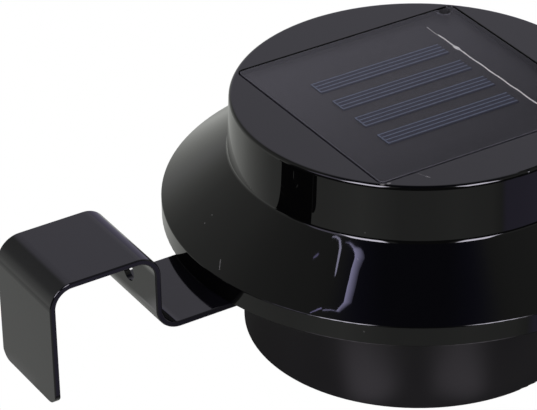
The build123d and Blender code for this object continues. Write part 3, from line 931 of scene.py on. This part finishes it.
@dataclass
class LightUnit(Assembly):
    """Lens, seal, bright reflector and three lamps in the bottom of the cup."""

    lamp_count: int = 3
    body_length: float = 8.6
    barrel_radius: float = 2.5
    flange_height: float = 1.0
    lead_radius: float = 0.3
    lead_spacing: float = 2.54
    cup_tip: float = 3.4
    cup_height: float = 1.1
    cup_mouth: float = 1.05
    cup_lip: float = 0.945
    cup_foot: float = 0.6
    cup_floor: float = 0.48
    cup_wall: float = 0.1
    phosphor_gap: float = 0.25
    phosphor_tip: float = 0.24
    phosphor_edge: float = 0.325
    phosphor_foot: float = 0.3
    nose_turns: int = 10
    lead_sides: int = 12
    cup_sides: int = 24
    carried = {
        "lens": POLYCARBONATE,
        "lens_seal": RUBBER,
        "reflector": METALLISED,
    }

    def build(self) -> None:
        """Make each lamp from its clear body, its lead frame and its drop of phosphor."""
        for number in range(1, self.lamp_count + 1):
            self.build_lamp(number)

    def build_lamp(self, number: int) -> None:
        """Make one lamp, which points down with its leads up through the board.

        Args:
            number: The lamp's number.
        """
        low, high = in_mm(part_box(f"led_{number}"))
        middle = ((low.x + high.x) / 2, (low.y + high.y) / 2)
        flange_radius = (high.x - low.x) / 2
        top = low.z + self.body_length
        profile = []
        for step in range(1, self.nose_turns + 1):
            angle = math.radians(90 * step / self.nose_turns)
            height = low.z + self.barrel_radius * (1 - math.cos(angle))
            profile.append((self.barrel_radius * math.sin(angle), height))
        profile += [
            (self.barrel_radius, top - self.flange_height),
            (flange_radius, top - self.flange_height),
            (flange_radius, top),
        ]
        body = add_piece(f"led_body_{number}", *turned(profile, middle), LED_EPOXY, "led_epoxy")
        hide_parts(f"led_{number}")
        mouth_z = low.z + self.cup_tip
        cup_z = mouth_z + self.cup_height
        parts = []
        for side, foot_z in ((-1, cup_z), (1, mouth_z)):
            place = (middle[0] + side * self.lead_spacing / 2, middle[1])
            lead = [(self.lead_radius, foot_z), (self.lead_radius, high.z)]
            parts.append(turned(lead, place, self.lead_sides))
        cup = [
            (self.cup_foot, cup_z),
            (self.cup_floor, cup_z - self.phosphor_gap),
            (self.cup_lip, mouth_z),
            (self.cup_mouth, mouth_z),
            (self.cup_foot + self.cup_wall, cup_z),
            (self.cup_foot + self.cup_wall, cup_z + self.lead_radius),
        ]
        cup_place = (middle[0] - self.lead_spacing / 4, middle[1])
        parts.append(turned(cup, cup_place, self.cup_sides))
        add_piece(f"led_frame_{number}", *joined(parts), SPRING_STEEL, "spring_steel")
        drop = [
            (self.phosphor_tip, mouth_z + self.phosphor_gap),
            (self.cup_floor, mouth_z + self.phosphor_edge),
            (self.cup_floor, cup_z - self.phosphor_foot),
        ]
        phosphor = turned(drop, cup_place, self.cup_sides)
        add_piece(f"led_phosphor_{number}", *phosphor, PHOSPHOR, "led_epoxy")


@dataclass
class Electronics(Assembly):
    """Charge and light board with its parts and screws."""

    carried = {
        "circuit_board": GREEN_BOARD,
        "board_screws": ZINC,
        "controller_chip": CHIP_EPOXY,
        "boost_inductor": FERRITE,
        "filter_capacitor": CAPACITOR_SLEEVE,
    }


@dataclass
class PowerPack(Assembly):
    """Rechargeable cell in its tray, between its sprung contacts."""

    carried = {
        "battery_holder": HOLDER_ABS,
        "battery_cell": CELL_SLEEVE,
        "battery_spring": SPRING_STEEL,
        "battery_contact_negative": SPRING_STEEL,
        "battery_contact_positive": SPRING_STEEL,
    }


@dataclass
class SlideSwitch(Assembly):
    """On and off switch in the floor plate."""

    carried = {
        "switch_body": SWITCH_ABS,
        "switch_knob": SWITCH_ABS,
        "switch_screws": ZINC,
        "switch_wire_red": RED_PVC,
        "switch_wire_black": BLACK_PVC,
    }


@dataclass
class GutterBracket(Assembly):
    """Bent steel strip that hooks over the gutter, and its two screws."""

    carried = {"bracket": POWDER_COAT, "bracket_screws": ZINC}


@dataclass
class PhotoCamera:
    """Camera at the photograph's viewing angle, by a point it looks at and a distance from it."""

    aim: tuple[float, float, float] = (-38.32, -1.48, 40.75)
    distance: float = 650.0
    azimuth: float = -31.33
    elevation: float = 31.31
    roll: float = -1.015
    lens: float = 209.58
    sensor: float = 36.0
    near: float = 0.01

    def build(self) -> None:
        """Place the camera and make it the scene's own."""
        turn, rise = math.radians(self.azimuth), math.radians(self.elevation)
        level = math.cos(rise)
        away = Vector((math.sin(turn) * level, -math.cos(turn) * level, math.sin(rise)))
        data = bpy.data.cameras.new("photo_camera")
        data.lens = self.lens
        data.sensor_width = self.sensor
        data.clip_start = self.near
        camera = bpy.data.objects.new("photo_camera", data)
        camera.location = (Vector(self.aim) + away * self.distance) * MM
        facing = (-away).to_track_quat("-Z", "Y").to_matrix()
        rolled = facing @ Matrix.Rotation(math.radians(self.roll), 3, "Z")
        camera.rotation_euler = rolled.to_euler()
        bpy.context.scene.collection.objects.link(camera)
        bpy.context.scene.camera = camera


@dataclass(frozen=True)
class SoftBox:
    """One cloth hung before the wall, lit or black, by its middle, reach and soft edge in degrees."""

    azimuth: float
    elevation: float
    half_width: float
    half_height: float
    softness: float
    strength: float
    colour: str = "#ffffff"


@dataclass(frozen=True)
class LightLine:
    """A thin bright line in the studio, by azimuth and elevation in degrees along its edges."""

    name: str
    left: tuple
    right: tuple
    strength: float
    colour: str
    right_share: float = 1.0


@dataclass(frozen=True)
class FloorPatch:
    """A soft-edged shade or bounce on the floor that only gloss sees, in millimetres."""

    name: str
    middle: tuple[float, float]
    half: tuple[float, float]
    rounding: float
    softness: float
    light: float
    hole: float = 0.0
    colour: str = "#ffffff"


class Hidden(Enum):
    """The rays that a piece of the studio is kept from."""

    FROM_GLOSS = ("glossy",)
    FROM_ALL_BUT_GLOSS = ("camera", "diffuse", "shadow")


def rectangle(half_x: float, half_y: float, z: float = 0.0) -> list:
    """Return the corners of a level rectangle about the origin."""
    return [(-half_x, -half_y, z), (half_x, -half_y, z), (half_x, half_y, z), (-half_x, half_y, z)]


def hang_sheet(
    name: str, points: list, faces: list, paint: str, hidden: Hidden
) -> tuple[bpy.types.Object, Nodes]:
    """Make one piece of the studio, which is no piece of the lamp.

    Args:
        name: The piece's name.
        points: Its corners in metres.
        faces: Its faces, as places in the list of corners.
        paint: The name of its material.
        hidden: The rays that it is kept from.

    Returns:
        The piece, and the empty nodes of its material.
    """
    mesh = bpy.data.meshes.new(name)
    mesh.from_pydata(points, [], faces)
    sheet = bpy.data.objects.new(name, mesh)
    bpy.context.scene.collection.objects.link(sheet)
    for rays in hidden.value:
        setattr(sheet, f"visible_{rays}", False)
    material = bpy.data.materials.new(paint)
    mesh.materials.append(material)
    return sheet, empty_nodes(material)


@dataclass
class Studio:
    """White floor and a round studio whose walls fade from pale at the floor to dark overhead.

    Azimuths are counted from the camera's side, clockwise seen from above as negative.
    """

    camera_bearing: float = -124.5
    floor_half: float = 2.0
    floor_drop: float = 0.3
    patch_drop: float = 0.25
    patch_step: float = 0.04
    reach: float = 1500.0
    wall_heights: tuple = (
        (-90, 0.60), (-15, 0.64), (-5, 0.565), (5, 0.515), (14, 0.375), (20, 0.31), (29, 0.295),
        (38, 0.28), (47, 0.21), (55, 0.178), (60, 0.165), (64, 0.135), (70, 0.038), (90, 0.035),
    )
    floor_glow: tuple = (
        (-180, 0.40), (-157, 0.53), (-145, 0.56), (-130, 0.58), (-110, 0.42), (-96, 0.32),
        (-57, 0.32), (-32, 0.41), (-10, 0.285), (8, 0.285), (24, 0.32), (45, 0.27), (60, 0.10),
        (80, 0.10), (100, 0.26), (180, 0.40),
    )
    wall_colour: str = "#fdfffa"
    ceiling_colour: str = "#b9b6ff"
    full_mirrors: float = 1.5
    second_mirror: float = 0.08
    second_fade: tuple[float, float] = (18.0, 28.0)
    floor_fade: tuple[float, float] = (-16.0, -24.0)
    ceiling_fade: tuple[float, float] = (62.0, 68.0)
    line_centre: tuple[float, float, float] = (0.0, 0.0, 40.0)
    patches: tuple[FloorPatch, ...] = (
        FloorPatch("lamp_shade", (0, 0), (0, 0), 51, 34, 0.05, hole=36),
        FloorPatch("strip_bounce", (-95, 28), (8, 4), 0, 6, 0.8),
        FloorPatch("left_bounce", (-48, -30), (12, 1), 3, 7, 0.75, colour="#f4ecf9"),
        FloorPatch("right_bounce", (-14.5, -60), (2, 14), 3, 7, 0.7, colour="#f4ecf9"),
    )
    boxes: tuple[SoftBox, ...] = (
        SoftBox(0, 4.5, 75, 22.5, 4, 0.03),
        SoftBox(5, 45, 16, 19, 5, 0.03),
        SoftBox(-33.5, 41, 11, 13, 4, 13.0, "#f4f0ff"),
        SoftBox(-58, 38, 9, 9, 5, 1.4, "#e9e2ff"),
        SoftBox(40, 41, 9, 13, 4, 12.0, "#f4f0ff"),
        SoftBox(180, 31, 20, 14, 20, 0.565, "#f2efff"),
        SoftBox(174, 4, 8, 14, 4, 0.5, "#e4deff"),
        SoftBox(66, -31, 11, 12, 5, 0.34, "#dcd4ff"),
    )
    lines: tuple[LightLine, ...] = (
        LightLine(
            "thin_line",
            (
                (-71.0, 59.55), (-68.77, 60.39), (-65.21, 61.47),
                (-63.0, 61.92), (-62.01, 61.91), (-61.15, 61.86), (-60.56, 61.83),
            ),
            (
                (-71.0, 59.5), (-69.06, 60.22), (-66.34, 61.06),
                (-64.34, 61.48), (-63.22, 61.53), (-62.09, 61.57), (-61.02, 61.69),
            ),
            6.5,
            "#c9c6e6",
        ),
        LightLine(
            "broad_line",
            (
                (-62.27, 62.37), (-58.77, 63.35), (-55.5, 64.15), (-53.43, 64.51), (-52.47, 64.57),
                (-52.35, 64.24), (-51.56, 63.97), (-51.23, 63.75), (-53.91, 62.72), (-60.52, 60.76),
            ),
            (
                (-61.2, 62.71), (-54.72, 64.46), (-47.79, 65.91), (-46.15, 66.12), (-45.39, 66.14),
                (-46.88, 65.5), (-46.45, 65.15), (-46.53, 64.79), (-51.85, 63.21), (-60.27, 60.79),
            ),
            7.5,
            "#bdb9e4",
            0.12,
        ),
        LightLine(
            "branch",
            ((-60.98, 60.66), (-63.45, 59.73), (-65.65, 58.86)),
            ((-61.68, 60.49), (-64.01, 59.58), (-66.01, 58.75)),
            5.0,
            "#b7b0e8",
        ),
        LightLine(
            "dash",
            ((-75.78, 56.63), (-75.11, 56.98), (-74.16, 57.44)),
            ((-75.27, 56.81), (-74.23, 57.3), (-73.53, 57.67)),
            3.0,
            "#b7b0e8",
        ),
    )

    def direction(self, azimuth: float, elevation: float) -> Vector:
        """Find the way from the part to a place in the studio.

        Args:
            azimuth: The place's azimuth in degrees.
            elevation: Its elevation in degrees.

        Returns:
            A unit vector in the part's frame.
        """
        turn = math.radians(azimuth + self.camera_bearing)
        rise = math.radians(elevation)
        return Vector((math.cos(rise) * math.cos(turn), math.cos(rise) * math.sin(turn), math.sin(rise)))

    def build(self) -> None:
        """Lay the floor, light the walls and hang the thin lines."""
        self.build_floor()
        for place, patch in enumerate(self.patches):
            self.build_patch(patch, self.patch_drop - self.patch_step * place)
        self.build_walls()
        for line in self.lines:
            self.build_line(line)

    def build_floor(self) -> None:
        """Lay a plain white floor that can be looked through from below."""
        corners = rectangle(self.floor_half, self.floor_half, -self.floor_drop * MM)
        floor, nodes = hang_sheet("floor", corners, [(0, 1, 2, 3)], "floor_white_lit", Hidden.FROM_GLOSS)
        lit = nodes.add("Emission", {"Strength": 1.0})
        clear = nodes.add("BsdfTransparent")
        behind = nodes.add("NewGeometry", output="Backfacing")
        seen = nodes.add("MixShader", {0: behind, 1: lit, 2: clear})
        nodes.add("OutputMaterial", {"Surface": seen})

    def build_patch(self, patch: FloorPatch, drop: float) -> None:
        """Lay one patch just over the floor, in its own coordinates.

        Args:
            patch: The patch.
            drop: How far below the part's bottom it lies, in millimetres.
        """
        reach = [(half + patch.rounding + patch.softness) * MM for half in patch.half]
        paint = f"{patch.name}_soft"
        hidden = Hidden.FROM_ALL_BUT_GLOSS
        sheet, nodes = hang_sheet(patch.name, rectangle(*reach), [(0, 1, 2, 3)], paint, hidden)
        sheet.location = Vector((*patch.middle, -drop)) * MM
        place = nodes.add("TexCoord", output="Object")
        mm = nodes.add("VectorMath", {0: place, "Scale": 1 / MM}, operation="SCALE")
        away = nodes.add("VectorMath", {0: mm}, operation="ABSOLUTE")
        past = nodes.add("VectorMath", {0: away, 1: (*patch.half, 0.0)}, operation="SUBTRACT")
        past = nodes.add("VectorMath", {0: past, 1: (0, 0, 0)}, operation="MAXIMUM")
        gap = nodes.add("VectorMath", {0: past}, "Value", operation="LENGTH")
        limits = {"Value": gap, "From Min": patch.rounding + patch.softness, "From Max": patch.rounding}
        mask = nodes.add("MapRange", limits, interpolation_type="SMOOTHSTEP")
        if patch.hole:
            open_middle = nodes.add("Math", {0: gap, 1: patch.hole}, operation="GREATER_THAN")
            mask = nodes.add("Math", {0: mask, 1: open_middle}, operation="MULTIPLY")
        behind = nodes.add("NewGeometry", output="Backfacing")
        facing = nodes.add("Math", {0: 1.0, 1: behind}, operation="SUBTRACT")
        mask = nodes.add("Math", {0: mask, 1: facing}, operation="MULTIPLY")
        lit = nodes.add("Emission", {"Color": linear(patch.colour), "Strength": patch.light})
        clear = nodes.add("BsdfTransparent")
        seen = nodes.add("MixShader", {0: mask, 1: clear, 2: lit})
        nodes.add("OutputMaterial", {"Surface": seen})

    def ramp(self, nodes: Nodes, value: Socket, table: tuple) -> Socket:
        """Read a table of angle and brightness at an angle.

        Args:
            nodes: The world's nodes.
            value: The angle in degrees.
            table: The angles and brightnesses, in the angles' order.

        Returns:
            The brightness socket.
        """
        low, high = table[0][0], table[-1][0]
        share = nodes.add("MapRange", {"Value": value, "From Min": low, "From Max": high})
        stops = tuple(((angle - low) / (high - low), (*(light,) * 3, 1.0)) for angle, light in table)
        ends = (stops[0], stops[-1], *stops[1:-1])
        return nodes.add("ValToRGB", {"Fac": share}, stops=ends)

    def box_mask(self, nodes: Nodes, azimuth: Socket, elevation: Socket, box: SoftBox) -> Socket:
        """Soft-edged mask of one box.

        Args:
            nodes: The world's nodes.
            azimuth: The azimuth socket in degrees.
            elevation: The elevation socket in degrees.
            box: The box.

        Returns:
            The mask socket.
        """
        edges = []
        for value, middle, half in (
            (azimuth, box.azimuth, box.half_width),
            (elevation, box.elevation, box.half_height),
        ):
            off = nodes.add("Math", {0: value, 1: middle}, operation="SUBTRACT")
            if value is azimuth:
                off = nodes.add("Math", {0: off, 1: 180.0, 2: -180.0}, operation="WRAP")
            away = nodes.add("Math", {0: off}, operation="ABSOLUTE")
            limits = {"Value": away, "From Min": half + box.softness, "From Max": half}
            edges.append(nodes.add("MapRange", limits, interpolation_type="SMOOTHSTEP"))
        return nodes.add("Math", {0: edges[0], 1: edges[1]}, operation="MULTIPLY")

    def build_walls(self) -> None:
        """Light the walls and the ceiling, and keep what the camera itself sees plain white."""
        world = bpy.data.worlds.new("studio")
        bpy.context.scene.world = world
        nodes = empty_nodes(world)
        toward = nodes.add("TexCoord", output="Generated")
        turn = (0.0, 0.0, -math.radians(self.camera_bearing))
        facing = nodes.add("Mapping", {"Vector": toward, "Rotation": turn}, vector_type="POINT")
        x, y, z = (nodes.add("SeparateXYZ", {0: facing}, axis) for axis in "XYZ")
        angle = nodes.add("Math", {0: y, 1: x}, operation="ARCTAN2")
        azimuth = nodes.add("Math", {0: angle}, operation="DEGREES")
        slope = nodes.add("Math", {0: z}, operation="ARCSINE")
        elevation = nodes.add("Math", {0: slope}, operation="DEGREES")
        walls = self.ramp(nodes, elevation, self.wall_heights)
        glow = self.ramp(nodes, azimuth, self.floor_glow)
        below, overhead = (
            nodes.add(
                "MapRange",
                {"Value": elevation, "From Min": start, "From Max": end},
                interpolation_type="SMOOTHSTEP",
            )
            for start, end in (self.floor_fade, self.ceiling_fade)
        )
        light = nodes.add("MixRGB", {"Fac": below, "Color1": walls, "Color2": glow})
        layers = [
            (1.0, linear(self.wall_colour), "MULTIPLY"),
            (overhead, linear(self.ceiling_colour), "MULTIPLY"),
        ]
        for box in self.boxes:
            cloth = [box.strength * channel for channel in linear(box.colour)[:3]]
            layers.append((self.box_mask(nodes, azimuth, elevation, box), (*cloth, 1.0), "MIX"))
        depth = nodes.add("LightPath", output="Glossy Depth")
        again = nodes.add("Math", {0: depth, 1: self.full_mirrors}, operation="GREATER_THAN")
        start, end = self.second_fade
        high = nodes.add("MapRange", {"Value": elevation, "From Min": start, "From Max": end})
        again = nodes.add("Math", {0: again, 1: high}, operation="MULTIPLY")
        layers.append((again, (*(self.second_mirror,) * 3, 1.0), "MULTIPLY"))
        layers.append((nodes.add("LightPath", output="Is Camera Ray"), linear("#ffffff"), "MIX"))
        for share, colour, blend in layers:
            mixed = {"Fac": share, "Color1": light, "Color2": colour}
            light = nodes.add("MixRGB", mixed, blend_type=blend)
        nodes.add("OutputWorld", {"Surface": nodes.add("Background", {"Color": light})})

    def build_line(self, line: LightLine) -> None:
        """Hang one thin bright line, which only gloss can see.

        Args:
            line: The line.
        """
        centre = Vector(self.line_centre)
        points, light = [], []
        for pair in zip(line.left, line.right):
            points += [(centre + self.direction(*edge) * self.reach) * MM for edge in pair]
            light += [1.0, line.right_share]
        faces = [(2 * s, 2 * s + 1, 2 * s + 3, 2 * s + 2) for s in range(len(line.left) - 1)]
        paint = f"{line.name}_lit"
        lamp, nodes = hang_sheet(line.name, points, faces, paint, Hidden.FROM_ALL_BUT_GLOSS)
        lamp.data.attributes.new("light", "FLOAT", "POINT").data.foreach_set("value", light)
        share = nodes.add("Attribute", output="Fac", attribute_name="light")
        strength = nodes.add("Math", {0: share, 1: line.strength}, operation="MULTIPLY")
        lit = nodes.add("Emission", {"Color": linear(line.colour), "Strength": strength})
        nodes.add("OutputMaterial", {"Surface": lit})


def main() -> None:
    """Build the camera, the studio and each sub-assembly."""
    logging.basicConfig(level=logging.INFO, format="%(name)s %(message)s")
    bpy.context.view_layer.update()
    PhotoCamera().build()
    Studio().build()
    bpy.context.scene.view_settings.view_transform = "Standard"
    kinds = (Housing, SolarPanel, LightUnit, Electronics, PowerPack, SlideSwitch, GutterBracket)
    for kind in kinds:
        LOG.info("%s", kind.__name__)
        assembly = kind()
        assembly.dress()
        assembly.build()


if __name__ == "__main__":
    main()
